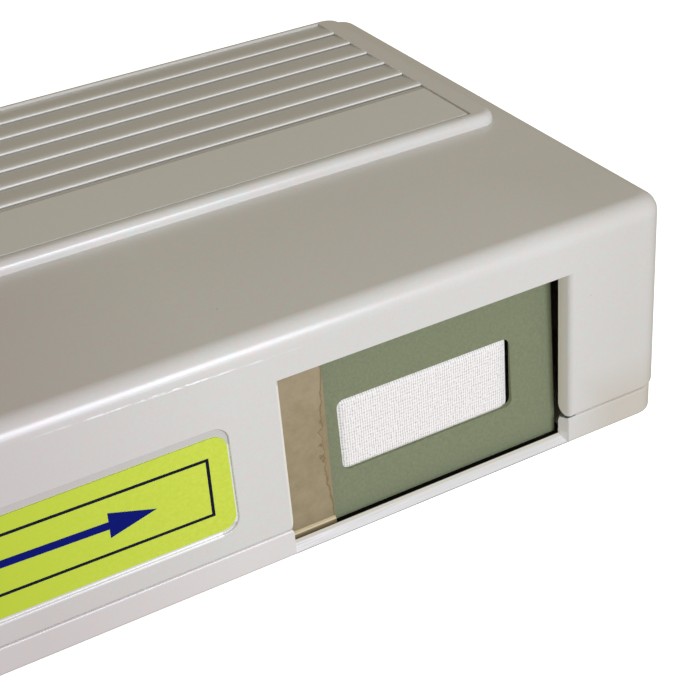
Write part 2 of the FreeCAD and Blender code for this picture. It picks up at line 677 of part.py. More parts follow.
def make_pad_holder():
    upright = block(HOLDER_X0, HOLDER_X1, PAD_BACK, HOLDER_BACK, FLOOR, HOLDER_TOP)
    foot = block(HOLDER_X0, HOLDER_X1, PAD_BACK, HOLDER_FOOT_Y, FLOOR, HOLDER_FOOT_TOP)
    holes = [rod((x, PEG_Y), PEG_R + RUNNING, FLOOR - EPS, HOLDER_FOOT_TOP + EPS) for x in PEG_X]
    return upright.fuse(foot).removeSplitter().cut(holes)


def make_presser_pad():
    x0, x1, z0, z1 = PAD
    pad = rounded_block(x0, x1, PAD_FRONT, PAD_BACK, z0, z1, APERTURE_ROUND, "y")
    face = [e for e in pad.Edges if e.BoundBox.YMax < PAD_FRONT + NEAR]
    return pad.makeFillet(PAD_ROUND, face)


def make_front_label():
    y = FRONT + RECESS
    return rounded_block(LABEL_X0, LABEL_X1, y - LABEL_THICK, y, LABEL_Z0, LABEL_Z1, LABEL_ROUND, "y")


def make_top_label():
    return block(-STRIP_X, STRIP_X, STRIP_Y0, STRIP_Y1, TRAY, TRAY + STRIP_THICK)


def main():
    parts = {
        "upper_shell": make_upper_shell(),
        "base_shell": make_base_shell(),
        "case_screws": make_case_screws(),
        "front_label": make_front_label(),
        "top_label": make_top_label(),
        "window_plate": make_window_plate(),
        "shutter": make_shutter(),
        "lever": make_lever(),
        "lever_pin": rod(PIVOT, LEVER_PIN_R, LEVER_PIN_Z0, LEVER_PIN_Z1),
        "lever_spring": make_lever_spring(),
        "feed_arm": make_feed_arm(),
        "clutch_spring": make_clutch_spring(),
        "take_up_reel": make_reel(TAKE_UP, True),
        "used_tape": tube(TAKE_UP, HUB_R, USED_R, TAPE_Z0, TAPE_Z1),
        "take_up_clip": tube(TAKE_UP, SPINDLE_R, CLIP_R, CLIP_Z0, CLIP_Z1),
        "supply_reel": make_reel(SUPPLY, False),
        "fresh_tape": tube(SUPPLY, HUB_R, FRESH_R, TAPE_Z0, TAPE_Z1),
        "supply_clip": tube(SUPPLY, SPINDLE_R, CLIP_R, CLIP_Z0, CLIP_Z1),
        "drag_washer": tube(SUPPLY, WASHER_R0, WASHER_R1, WASHER_Z0, FLANGE_Z0),
        "cleaning_tape": make_cleaning_tape(),
        "presser_pad": make_presser_pad(),
        "pad_holder": make_pad_holder(),
    }
    for side, at in ROLLERS.items():
        parts["guide_roller_" + side] = make_roller(at)
        parts["guide_pin_" + side] = rod(at, ROLLER_PIN_R, ROLLER_PIN_Z0, ROLLER_PIN_Z1)
    os.makedirs("parts", exist_ok=True)
    for name, shape in parts.items():
        shape.exportStep("parts/" + name + ".step")
        state = "valid" if shape.isValid() else "INVALID"
        print(name, state, len(shape.Solids), "solid(s)", round(shape.Volume, 1), "mm3")


main()
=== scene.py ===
# %% [markdown]
# # Fibre optic cleaning cassette, dressed for a close-up
# The cassette is a palm-sized moulded case. A lever in its left end slides a shutter away from a window,
# where a fresh stretch of woven tape waits for the end face of a fibre connector. The solids come from the
# CAD frame. This lesson gives them their surfaces, weaves the tape, prints the label and sets up the photo.

import json
import math

import bpy
import bmesh
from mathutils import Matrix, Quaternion, Vector


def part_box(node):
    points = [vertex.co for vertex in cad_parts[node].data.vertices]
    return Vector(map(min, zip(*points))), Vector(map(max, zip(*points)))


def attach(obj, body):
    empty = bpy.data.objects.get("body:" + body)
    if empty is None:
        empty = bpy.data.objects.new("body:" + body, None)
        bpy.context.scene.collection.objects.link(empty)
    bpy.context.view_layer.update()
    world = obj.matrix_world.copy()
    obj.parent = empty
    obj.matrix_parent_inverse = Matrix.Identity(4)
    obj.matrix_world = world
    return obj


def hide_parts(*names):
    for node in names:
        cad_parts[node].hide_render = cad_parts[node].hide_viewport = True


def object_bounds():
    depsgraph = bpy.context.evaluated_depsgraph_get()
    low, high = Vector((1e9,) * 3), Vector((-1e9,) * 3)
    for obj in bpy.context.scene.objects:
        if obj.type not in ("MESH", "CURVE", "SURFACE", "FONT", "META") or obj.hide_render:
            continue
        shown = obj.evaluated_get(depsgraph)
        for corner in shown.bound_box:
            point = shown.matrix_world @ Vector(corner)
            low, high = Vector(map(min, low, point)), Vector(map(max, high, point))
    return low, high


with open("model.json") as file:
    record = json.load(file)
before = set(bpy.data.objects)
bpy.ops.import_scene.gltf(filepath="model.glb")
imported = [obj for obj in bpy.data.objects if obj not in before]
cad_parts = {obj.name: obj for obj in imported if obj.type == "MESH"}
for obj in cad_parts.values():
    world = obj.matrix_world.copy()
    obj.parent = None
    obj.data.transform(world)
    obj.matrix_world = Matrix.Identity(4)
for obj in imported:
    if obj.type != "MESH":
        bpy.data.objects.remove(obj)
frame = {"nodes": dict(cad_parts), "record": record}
cad_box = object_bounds()
nodes = frame["nodes"]
scene = bpy.context.scene
MM = 0.001
print("CAD nodes:", len(nodes), "box in mm:", [[round(v / MM, 2) for v in corner] for corner in cad_box])

# %% [markdown]
# ## Camera
# The picture is taken from the front left, a hand's length away and well above the window, with a slight
# tilt of the camera. A short telephoto lens this close still gives the case clear perspective. Aiming the
# camera at a point in the window and then rolling it keeps every number something that could be measured.

# %% Camera
CAMERA_AT = Vector((-53.2, -170.87, 118.07)) * MM
CAMERA_AIM = Vector((20.54, -24.63, 15.0)) * MM
CAMERA_ROLL = math.radians(-4.81)
CAMERA_LENS = 80.5
CAMERA_NEAR = 10 * MM


def link(name, data):
    """Puts new data into the scene as an object."""
    made = bpy.data.objects.new(name, data)
    scene.collection.objects.link(made)
    return made


def facing(start, target):
    """The turn that points an object's -Z axis from start to target."""
    return (target - start).to_track_quat("-Z", "Y")


camera = link("close_up_camera", bpy.data.cameras.new("close_up_camera"))
camera.data.lens = CAMERA_LENS
camera.data.clip_start = CAMERA_NEAR
camera.location = CAMERA_AT
camera.rotation_euler = (facing(CAMERA_AT, CAMERA_AIM) @ Quaternion((0, 0, 1), CAMERA_ROLL)).to_euler()
scene.camera = camera
scene.view_settings.view_transform = "Standard"
print("camera", round((CAMERA_AIM - CAMERA_AT).length / MM), "mm from its aim")

# %% [markdown]
# ## Nodes and colours
# Every surface below is a small tree of shader nodes. One function adds a node, sets it up and links it, so
# that a material reads as a list of what it is made of. Colours are picked as sRGB hex, as a paint chart
# gives them, and turned to the linear values that the shader works with.

# %% Node and colour helpers
# A Mix node has sockets for each kind of data, and these are the numbers of the ones for colours
MIX_FACTOR, MIX_A, MIX_B, MIX_COLOUR = 0, 6, 7, 2


def linear(colour):
    """An sRGB hex colour as linear RGBA."""
    parts = [int(colour[i:i + 2], 16) / 255 for i in (1, 3, 5)]
    return [p / 12.92 if p <= 0.04045 else ((p + 0.055) / 1.055) ** 2.4 for p in parts] + [1.0]


def add(tree, kind, inputs=None, **settings):
    """Adds one shader node, with its settings, its constant inputs and its links."""
    node = tree.nodes.new("ShaderNode" + kind)
    for name, value in settings.items():
        setattr(node, name, value)
    for name, value in (inputs or {}).items():
        if isinstance(value, bpy.types.NodeSocket):
            tree.links.new(value, node.inputs[name])
        else:
            node.inputs[name].default_value = value
    return node


def surface(name, shine, paint):
    """A material whose shader has the constant inputs in shine, and what paint(tree) works out."""
    made = bpy.data.materials.new(name)
    made.use_nodes = True
    tree = made.node_tree
    tree.nodes.clear()
    inputs = {**shine, **paint(tree)}
    shader = add(tree, "BsdfPrincipled", inputs)
    add(tree, "OutputMaterial", {"Surface": shader.outputs["BSDF"]})
    return made


def per(size_mm):
    """The texture scale that gives a pattern of this size."""
    return 1 / (size_mm * MM)


print("white is", linear("#FFFFFF"))

# %% [markdown]
# ## Floor
# The picture is a plain studio shot on a white ground with no shadow to speak of. A sheet of opal acrylic lit
# from below is the usual way to get that. Here the sheet glows by itself, and it is hidden from diffuse and
# glossy rays, so that it doesn't light the part from underneath or show in its gloss.

# %% Floor
FLOOR_HALF = 2.0
FLOOR_DROP = 0.02 * MM
FLOOR_GLOW = 0.95


def opal_acrylic(tree):
    """Matt white plastic that glows: no shadow reaches the eye, only a plain pale ground."""
    return {"Base Color": linear("#CFCFCF"), "Emission Color": linear("#FFFFFF")}


floor_mesh = bpy.data.meshes.new("light_table")
corners = [(x * FLOOR_HALF, y * FLOOR_HALF) for x, y in ((-1, -1), (1, -1), (1, 1), (-1, 1))]
floor_mesh.from_pydata([(x, y, cad_box[0].z - FLOOR_DROP) for x, y in corners], [], [(0, 1, 2, 3)])
floor = link("light_table", floor_mesh)
opal = surface("opal_acrylic", {"Roughness": 0.6, "Emission Strength": FLOOR_GLOW}, opal_acrylic)
floor_mesh.materials.append(opal)
floor.visible_diffuse = False
floor.visible_glossy = False
print("floor", 2 * FLOOR_HALF, "m square")

# %% [markdown]
# ## Light
# A soft box in front and a little above lights the window side and draws the crisp line on the lid's
# rounding, where its edge is mirrored. A card low in front fills the window, one behind keeps the back and
# the left end from going dark, and the warm room does the rest. Their strengths follow from the brightness of
# the lid, the front and the rounding in the picture.

# %% Light
WORLD_TINT = (1.0, 0.903, 0.683, 1.0)
WORLD_LEVEL = 0.336


def area_light(name, distance, azimuth, elevation, width, height, power, tint):
    """A flat lamp that faces the window, placed in metres and in degrees from the window's outward normal."""
    azimuth, elevation = math.radians(azimuth), math.radians(elevation)
    flat = math.cos(elevation)
    offset = Vector((math.sin(azimuth) * flat, -math.cos(azimuth) * flat, math.sin(elevation)))
    lamp = link(name, bpy.data.lights.new(name, "AREA"))
    lamp.data.shape = "RECTANGLE"
    lamp.data.size = width
    lamp.data.size_y = height
    lamp.data.energy = power
    lamp.data.color = tint
    lamp.location = CAMERA_AIM + distance * offset
    lamp.rotation_euler = facing(lamp.location, CAMERA_AIM).to_euler()
    return lamp


scene.world = bpy.data.worlds.new("soft_room")
scene.world.use_nodes = True
room = scene.world.node_tree.nodes["Background"]
room.inputs["Color"].default_value = WORLD_TINT
room.inputs["Strength"].default_value = WORLD_LEVEL

lamps = [area_light("soft_box", distance=0.4, azimuth=6.2, elevation=22.6, width=0.197, height=0.155,
                    power=1.1, tint=(0.825, 0.870, 1.0)),
         area_light("low_card", distance=0.8, azimuth=0, elevation=3, width=0.5, height=0.1,
                    power=1.13, tint=(0.741, 0.816, 1.0)),
         area_light("rear_card", distance=0.8, azimuth=222, elevation=1.5, width=0.6, height=0.15,
                    power=3.6, tint=(0.9, 0.94, 1.0))]
print("lights:", [lamp.name for lamp in lamps])

# %% [markdown]
# ## Painted shade and highlights on the case
# The case halves and the lever are off-white mouldings. Most of their marks here are light and shade painted
# into the colour by place: painted shade in the shutter's track, in the seam at the right jamb, before and
# behind the label strip and towards both ends, and painted highlights on the sill, the left jamb and below
# the label. A painter would mask each place and spray it. Here each mark is a box in the part's own frame
# with a soft border, so it stays in its place on the part. Later marks lie over earlier ones. The marks on
# the jambs, the sill's edges and the label's bed stand in for roundings that are softer on the real case than
# on the solids.

# %% Painted shade and highlights on the case
# A mark has a colour, a strength, the width of its border, and its box's lowest and highest corner in mm
# Painted shade: in the track, in the seam at the right jamb, on the sill's outer edge, before and behind the
# strip, on the right jamb, on the label's bed and towards both ends. Painted highlights: on the sill's inner
# edge, below the label, on the left jamb's edge and on the bed's right end.
MARKS = {
    "painted highlight on the sill's inner edge": ("#D8D4C4", 0.9, 0.15, (4, -38.3, 0.8), (43.3, -37.9, 1.6)),
    "painted shade in the track": ("#0C0905", 0.97, 0.05, (-30, -37.93, 0.3), (46, -33, 1.5)),
    "painted shade on the sill's outer edge": ("#8F8D8E", 0.8, 0.03, (4, -39.3, -0.1), (43.3, -39.1, 0.33)),
    "shaded right jamb": ("#CBC4AA", 0.7, 1.1, (42.0, -38.2, 5.6), (44.5, -36, 23.9)),
    "painted shade in the seam at the right jamb": ("#0C0905", 0.9, 0.05, (42.5, -39.6, 3.92), (44.2, -36, 4.25)),
    "paler base at the left": ("#F6E8E9", 0.22, 0.3, (-60, -41, -1), (3.9, -38, 3.7)),
    "painted shadow behind the strip": ("#8F8776", 0.8, 0.1, (-50, 3.6, 32.0), (50, 5.0, 32.3)),
    "shaded bed of the label": ("#C4C1BC", 0.68, 0.1, (-46.6, -39.36, 8.0), (-2.6, -39.0, 21.5)),
    "painted highlight on the rim below the label": ("#FFFFFF", 0.95, 0.2, (-46.6, -39.6, 7.2), (-4.9, -39.1, 7.45)),
    "painted light on the bed's right end": ("#FFFFFF", 0.45, 0.05, (-3.2, -39.42, 8.3), (-2.55, -39.0, 19.0)),
    "painted highlight on the left jamb's edge": ("#FFF6E8", 0.5, 0.1, (3.7, -39.6, 4.6), (4.1, -38.9, 24.2)),
    "painted shade at the right end": ("#C2BCB2", 0.25, 12.0, (52, -41, 4.3), (60, -30, 28)),
    "painted shadow before the strip": ("#8F8776", 0.8, 0.05, (-50, -7.9, 32.0), (50, -7.4, 32.4)),
    "painted shade at the right end of the base": ("#C9C0B0", 0.65, 6.0, (50, -41, -1), (60, -30, 4.0)),
    "painted shade at the left end": ("#BFB2B3", 0.42, 25.0, (-60, -41, -1), (-27, -12, 40)),
}


def inside(tree, place, low, high, soft):
    """One inside a box of the part frame, in millimetres, and none at a soft distance past its faces."""
    low, high = Vector(low) * MM, Vector(high) * MM
    off = add(tree, "VectorMath", {0: place, 1: (low + high) / 2}, operation="SUBTRACT")
    away = add(tree, "VectorMath", {0: off.outputs["Vector"]}, operation="ABSOLUTE")
    past = add(tree, "VectorMath", {0: away.outputs["Vector"], 1: (high - low) / 2}, operation="SUBTRACT")
    sides = add(tree, "SeparateXYZ", {"Vector": past.outputs["Vector"]})
    flat = add(tree, "Math", {0: sides.outputs["X"], 1: sides.outputs["Y"]}, operation="MAXIMUM")
    most = add(tree, "Math", {0: flat.outputs["Value"], 1: sides.outputs["Z"]}, operation="MAXIMUM")
    mask = add(tree, "MapRange", {"Value": most.outputs["Value"], "From Max": soft * MM,
                                  "To Min": 1.0, "To Max": 0.0})
    return mask.outputs["Result"]


def marked(tree, place, colour):
    """The case's colour with each mark painted over it in turn: painted shade, painted highlights and a paler
    base.
    """
    for shade, strength, soft, low, high in MARKS.values():
        box = inside(tree, place, low, high, soft)
        cover = add(tree, "Math", {0: box, 1: strength}, operation="MULTIPLY")
        painted = add(tree, "Mix", {MIX_FACTOR: cover.outputs["Value"], MIX_A: colour, MIX_B: linear(shade)},
                      data_type="RGBA")
        colour = painted.outputs[MIX_COLOUR]
    return colour


print("painted shade and highlight marks:", len(MARKS))

# %% [markdown]
# ## Painted shade and highlights on the ribs
# The raised panel has shallow saw-tooth ribs for the thumb. The ribs are a little greyer, with painted shade
# in the corner before each rib and a painted highlight along its slope, paler towards the nose, where the
# real edge is rounder than the solid's. All of it repeats from rib to rib, so one saw-tooth of the place
# along Y, counted in pitches, drives all three colours.

# %% Painted shade and highlights on the ribs
# In mm: the first rib's front, the pitch, how far the painted shade starts before a rib, and the box that
# they fill
RIB_FIRST_Y = 5.05
RIB_PITCH = 5.03
RIB_BEFORE = 0.03
RIB_FIELD = ((-50, 3.4, 32.0), (50, 35.2, 32.58))
RIB_FIELD_SOFT = 0.02
# In shares of a pitch: where the painted shade in the corner ends, and where the painted highlight falls off
RIB_CORNER = (0.007, 0.016)
RIB_HIGHLIGHT = (0.05, 0.45)
RIB_HIGHLIGHT_FALL = 2.4


def painted_rib_shading(tree, place, colour):
    """The colour greyer on the ribs, with a painted highlight paler towards each nose and painted shade
    before it.
    """
    parts = add(tree, "SeparateXYZ", {"Vector": place})
    first = (RIB_BEFORE - RIB_FIRST_Y) / RIB_PITCH
    pitches = add(tree, "Math", {0: parts.outputs["Y"], 1: per(RIB_PITCH), 2: first},
                  operation="MULTIPLY_ADD")
    behind = add(tree, "Math", {0: pitches.outputs["Value"]}, operation="FRACT").outputs["Value"]
    ribs = inside(tree, place, *RIB_FIELD, RIB_FIELD_SOFT)
    greyed_ribs = add(tree, "Mix", {MIX_FACTOR: ribs, MIX_A: colour, MIX_B: linear("#CCCAC4")}, data_type="RGBA")
    back = add(tree, "MapRange", {"Value": behind, "From Min": RIB_HIGHLIGHT[0], "From Max": RIB_HIGHLIGHT[1],
                                  "To Min": 1.0, "To Max": 0.0})
    fade = add(tree, "Math", {0: back.outputs["Result"], 1: RIB_HIGHLIGHT_FALL}, operation="POWER")
    highlit_share = add(tree, "Math", {0: fade.outputs["Value"], 1: ribs}, operation="MULTIPLY")
    pale = add(tree, "Mix", {MIX_FACTOR: highlit_share.outputs["Value"], MIX_A: greyed_ribs.outputs[MIX_COLOUR],
                             MIX_B: linear("#FFFFFF")}, data_type="RGBA")
    front = add(tree, "MapRange", {"Value": behind, "From Min": RIB_CORNER[0], "From Max": RIB_CORNER[1],
                                   "To Min": 0.9, "To Max": 0.0})
    corner = add(tree, "Math", {0: front.outputs["Result"], 1: ribs}, operation="MULTIPLY")
    dark = add(tree, "Mix", {MIX_FACTOR: corner.outputs["Value"], MIX_A: pale.outputs[MIX_COLOUR],
                             MIX_B: linear("#7A7466")}, data_type="RGBA")
    return dark.outputs[MIX_COLOUR]


print("ribs every", RIB_PITCH, "mm")

# %% [markdown]
# ## Painted highlight on the sill
# The sill below the window is painted paler in fine streaks, a painted highlight that is strongest at the
# left and fainter to the right. Single streaks could be painted one by one, but there are too many. A noise
# that is stretched along X gives streaks of every length, and their strength falls off with X.

# %% Painted highlight on the sill
SILL = ((4, -39.05, 0.2), (43.3, -38.3, 1.7))
SILL_SOFT = 0.1
SILL_FADE_X = (8, 24)
STREAK_MM = 0.15
STREAK_STRETCH = (0.03, 1.0, 1.0)


def painted_sill_highlight(tree, place, colour):
    """The colour with a painted highlight in pale streaks along the sill, dense at the left and thinner to
    the right.
    """
    parts = add(tree, "SeparateXYZ", {"Vector": place})
    drawn = add(tree, "VectorMath", {0: place, 1: STREAK_STRETCH}, operation="MULTIPLY")
    streaks = add(tree, "TexNoise", {"Vector": drawn.outputs["Vector"], "Scale": per(STREAK_MM),
                                     "Detail": 2.0})
    # Painted highlight: the streaks are strongest at the left and fade along X
    less = add(tree, "MapRange", {"Value": parts.outputs["X"], "From Min": SILL_FADE_X[0] * MM,
                                  "From Max": SILL_FADE_X[1] * MM, "To Min": 0.95, "To Max": 0.45})
    recoloured = add(tree, "MapRange", {"Value": streaks.outputs["Fac"], "From Min": 0.35, "From Max": 0.65,
                                  "To Min": 0.25, "To Max": less.outputs["Result"]})
    sill = inside(tree, place, *SILL, SILL_SOFT)
    cover = add(tree, "Math", {0: recoloured.outputs["Result"], 1: sill}, operation="MULTIPLY")
    tinted = add(tree, "Mix", {MIX_FACTOR: cover.outputs["Value"], MIX_A: colour, MIX_B: linear("#F8F6F8")},
                 data_type="RGBA")
    return tinted.outputs[MIX_COLOUR]


print("sill highlight painted over", round(SILL[1][0] - SILL[0][0], 1), "mm")

# %% [markdown]
# ## Scar
# A long scratch runs along the front, just under the lid's rounding. A scratch whitens the plastic and throws
# up a burr, so the same mask serves as colour and as height. It is the distance from a straight line, faded
# towards both ends and broken up by a noise that is stretched along it.

# %% Scar
# In mm: two points of it as X and Z, half the width of its core and of the whole, and the part that is strong
SCAR_FROM = (-16.0, 28.4)
SCAR_TO = (14.0, 27.9)
SCAR_CORE = 0.03
SCAR_HALF = 0.2
SCAR_MIDDLE = ((-12, -41, 27), (-5, -38, 29.5))
SCAR_FADE = 13
SCAR_BIT_MM = 0.4
SCAR_STRETCH = (0.3, 1.0, 1.0)


def scar(tree, place):
    """One on the scar and none beside it, in broken bits that thin out towards its ends."""
    parts = add(tree, "SeparateXYZ", {"Vector": place})
    line = add(tree, "MapRange", {"Value": parts.outputs["X"],
                                  "From Min": SCAR_FROM[0] * MM, "From Max": SCAR_TO[0] * MM,
                                  "To Min": SCAR_FROM[1] * MM, "To Max": SCAR_TO[1] * MM}, clamp=False)
    off = add(tree, "Math", {0: parts.outputs["Z"], 1: line.outputs["Result"]}, operation="SUBTRACT")
    away = add(tree, "Math", {0: off.outputs["Value"]}, operation="ABSOLUTE")
    ridge = add(tree, "MapRange", {"Value": away.outputs["Value"], "From Min": SCAR_CORE * MM,
                                   "From Max": SCAR_HALF * MM, "To Min": 1.0, "To Max": 0.0})
    drawn = add(tree, "VectorMath", {0: place, 1: SCAR_STRETCH}, operation="MULTIPLY")
    broken = add(tree, "TexNoise", {"Vector": drawn.outputs["Vector"], "Scale": per(SCAR_BIT_MM),
                                    "Detail": 3.0})
    bits = add(tree, "MapRange", {"Value": broken.outputs["Fac"], "From Min": 0.42, "From Max": 0.6,
                                  "To Min": 0.1})
    reach = inside(tree, place, *SCAR_MIDDLE, SCAR_FADE)
    solid = add(tree, "Math", {0: ridge.outputs["Result"], 1: reach}, operation="MULTIPLY")
    marks = add(tree, "Math", {0: solid.outputs["Value"], 1: bits.outputs["Result"]}, operation="MULTIPLY")
    return marks.outputs["Value"]


print("scar measured over", round(math.dist(SCAR_FROM, SCAR_TO), 1), "mm")

# %% [markdown]
# ## Moulded ABS
# The case halves and the lever are injection-moulded ABS, semi-gloss. The mould's spark-eroded skin leaves
# a grain of small pits that softens reflections, and the plastic has a faint pink and green mottle. The
# material is laid up in layers: bare plastic, then painted shade and highlights by place, on the ribs and on
# the sill, then specks of dirt and the scar.

# %% Moulded ABS
MOTTLE_MM = 1.1
# The real pits are finer than the picture can show, so they are drawn coarser
PIT_MM = 0.3
SPECK_SPACING_MM = 7
SPECK_EDGE = (0.012, 0.02)
GLOSS_PATCH_MM = 7
GLOSS = (0.20, 0.28)
BURR = 0.06 * MM


def moulded_abs(tree):
    """Off-white plastic with a soft gloss: fine grain, a pink and green mottle, specks, a scar, and painted
    shade and highlights.
    """
    place = add(tree, "TexCoord").outputs["Object"]
    mottle = add(tree, "TexNoise", {"Vector": place, "Scale": per(MOTTLE_MM), "Detail": 4.0,
                                    "Roughness": 0.7})
    blend = add(tree, "MapRange", {"Value": mottle.outputs["Fac"], "From Min": 0.3, "From Max": 0.7})
    base = add(tree, "Mix", {MIX_FACTOR: blend.outputs["Result"], MIX_A: linear("#E0D6D0"),
                             MIX_B: linear("#D7DCD6")}, data_type="RGBA")
    grain = add(tree, "TexNoise", {"Vector": place, "Scale": per(PIT_MM), "Detail": 2.0})
    pits = add(tree, "MapRange", {"Value": grain.outputs["Fac"], "From Min": 0.3, "From Max": 0.7,
                                  "To Max": 0.06})
    grained = add(tree, "Mix", {MIX_FACTOR: pits.outputs["Result"], MIX_A: base.outputs[MIX_COLOUR],
                                MIX_B: linear("#A8A196")}, data_type="RGBA")
    # Painted shade and highlights by place, then on the ribs, then on the sill
    used = marked(tree, place, grained.outputs[MIX_COLOUR])
    used = painted_rib_shading(tree, place, used)
    used = painted_sill_highlight(tree, place, used)
    cells = add(tree, "TexVoronoi", {"Vector": place, "Scale": per(SPECK_SPACING_MM)})
    speck = add(tree, "MapRange", {"Value": cells.outputs["Distance"], "From Min": SPECK_EDGE[0],
                                   "From Max": SPECK_EDGE[1], "To Min": 0.55, "To Max": 0.0})
    dotted = add(tree, "Mix", {MIX_FACTOR: speck.outputs["Result"], MIX_A: used, MIX_B: linear("#8B8172")},
                 data_type="RGBA")
    white = scar(tree, place)
    colour = add(tree, "Mix", {MIX_FACTOR: white, MIX_A: dotted.outputs[MIX_COLOUR],
                               MIX_B: linear("#FFFFFF")}, data_type="RGBA")
    patches = add(tree, "TexNoise", {"Vector": place, "Scale": per(GLOSS_PATCH_MM), "Detail": 3.0})
    gloss = add(tree, "MapRange", {"Value": patches.outputs["Fac"], "To Min": GLOSS[0], "To Max": GLOSS[1]})
    skin = add(tree, "Bump", {"Height": grain.outputs["Fac"], "Strength": 0.2, "Distance": 0.02 * MM})
    bump = add(tree, "Bump", {"Height": white, "Strength": 1.0, "Distance": BURR,
                              "Normal": skin.outputs["Normal"]})
    return {"Base Color": colour.outputs[MIX_COLOUR], "Roughness": gloss.outputs["Result"],
            "Normal": bump.outputs["Normal"]}


finishes = {"case_plastic": surface("moulded_abs", {"IOR": 1.53}, moulded_abs)}
print("finish:", finishes["case_plastic"].name)

# %% [markdown]
# ## Label films
# The label beside the window is a polypropylene film, printed lime and laminated, so it has a satin face. The
# strip in the lid's tray is a plain matt film, a shade warmer than the case. Both films carry painted shade
# that deepens them at the left and fades out along X towards the window in the fine grain of the print. A
# film is never quite flat after it is pressed down, so both get a shallow ripple.

# %% Label films
# The grain of a real print is finer than the picture can show, so it is drawn coarser
PRINT_GRAIN_MM = 0.4
RIPPLE_MM = 2.5
PAINTED_SHADE_X = (-32, -6)


def film(tree, light, dark):
    """Printed film: a deep colour under painted shade at the left that pales in a fine grain to the right, on
    a slightly rippled face.
    """
    place = add(tree, "TexCoord").outputs["Object"]
    parts = add(tree, "SeparateXYZ", {"Vector": place})
    grain = add(tree, "TexNoise", {"Vector": place, "Scale": per(PRINT_GRAIN_MM), "Detail": 3.0,
                                   "Roughness": 0.6})
    # Painted shade: the film is darker at the left and pales along X
    out_of_shade = add(tree, "MapRange", {"Value": parts.outputs["X"], "From Min": PAINTED_SHADE_X[0] * MM,
                                   "From Max": PAINTED_SHADE_X[1] * MM})
    drift = add(tree, "Math", {0: grain.outputs["Fac"], 1: out_of_shade.outputs["Result"]}, operation="MULTIPLY")
    colour = add(tree, "Mix", {MIX_FACTOR: drift.outputs["Value"], MIX_A: linear(dark), MIX_B: linear(light)},
                 data_type="RGBA")
    ripple = add(tree, "TexNoise", {"Vector": place, "Scale": per(RIPPLE_MM), "Detail": 1.0})
    bump = add(tree, "Bump", {"Height": ripple.outputs["Fac"], "Strength": 0.2, "Distance": 0.02 * MM})
    return {"Base Color": colour.outputs[MIX_COLOUR], "Normal": bump.outputs["Normal"]}


finishes["label_lime"] = surface("printed_lime_film", {"Roughness": 0.45, "IOR": 1.49},
                                 lambda tree: film(tree, "#DBE956", "#BFD038"))
finishes["label_strip"] = surface("matt_film_strip", {"Roughness": 0.6, "IOR": 1.49},
                                  lambda tree: film(tree, "#E0DED8", "#D8D6CE"))
print("finishes:", [finishes[k].name for k in ("label_lime", "label_strip")])

# %% [markdown]
# ## Sage plate
# The plate behind the window is a matt moulding, coloured through in sage green. Its mould was etched, which
# leaves a grain of tiny bumps, so it looks dull from every side. One noise serves as colour and as height,
# because on such a face the hollows are also the darker spots.

# %% Sage plate
# Coarser than a real etched grain, so that it shows
PLATE_GRAIN_MM = 0.35


def etched_plate(tree):
    """Sage plastic from an etched mould: dull, with a grain just coarse enough to see."""
    place = add(tree, "TexCoord").outputs["Object"]
    grain = add(tree, "TexNoise", {"Vector": place, "Scale": per(PLATE_GRAIN_MM), "Detail": 2.0})
    colour = add(tree, "Mix", {MIX_FACTOR: grain.outputs["Fac"], MIX_A: linear("#6F765A"),
                               MIX_B: linear("#898F6E")}, data_type="RGBA")
    bump = add(tree, "Bump", {"Height": grain.outputs["Fac"], "Strength": 0.5, "Distance": 0.04 * MM})
    return {"Base Color": colour.outputs[MIX_COLOUR], "Normal": bump.outputs["Normal"]}


finishes["plate_sage"] = surface("etched_sage_plastic", {"Roughness": 0.7, "IOR": 1.49}, etched_plate)
print("finish:", finishes["plate_sage"].name)

# %% [markdown]
# ## Tan shutter
# The sliding shutter is a tan moulding that has been handled a lot. Fingers and connectors have worn its
# leading edge brown, most at mid height, and dirt has drawn a thin line around the worn patch. Its foot is a
# lip that runs in the track, with a painted highlight along its fold and painted shade below and above it.
# The patch is a ragged distance from the edge along X, and the lip is a distance from the fold along Z.

# %% Tan shutter
SHUTTER_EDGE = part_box("shutter")[1].x
# The worn patch, in mm: its mid height, its reach up and down, and its least and greatest depth at the edge
WEAR_MIDDLE = 13.0
WEAR_HALF = 9.0
WEAR_LEAST = 0.1
WEAR_REACH = 1.7
WEAR_RAGGED_MM = 1.3
WEAR_BORDER = 0.3
WEAR_LINE = 0.2
# The lip, in mm: the height of its fold, half the fold's width, the painted shade above it and the shaded
# foot below it
FOLD_Z = 2.05
FOLD_CORE = 0.06
FOLD_HALF = 0.2
SHADE_ABOVE_FOLD = (0.3, 2.2)
FOOT_Z = 1.5
# The plastic, in mm: its blotches, the heights between which it pales, and its grain, coarse enough to show
BLOTCH_MM = 1.6
PALER_UP_Z = (14, 24)
SHUTTER_GRAIN_MM = 0.3


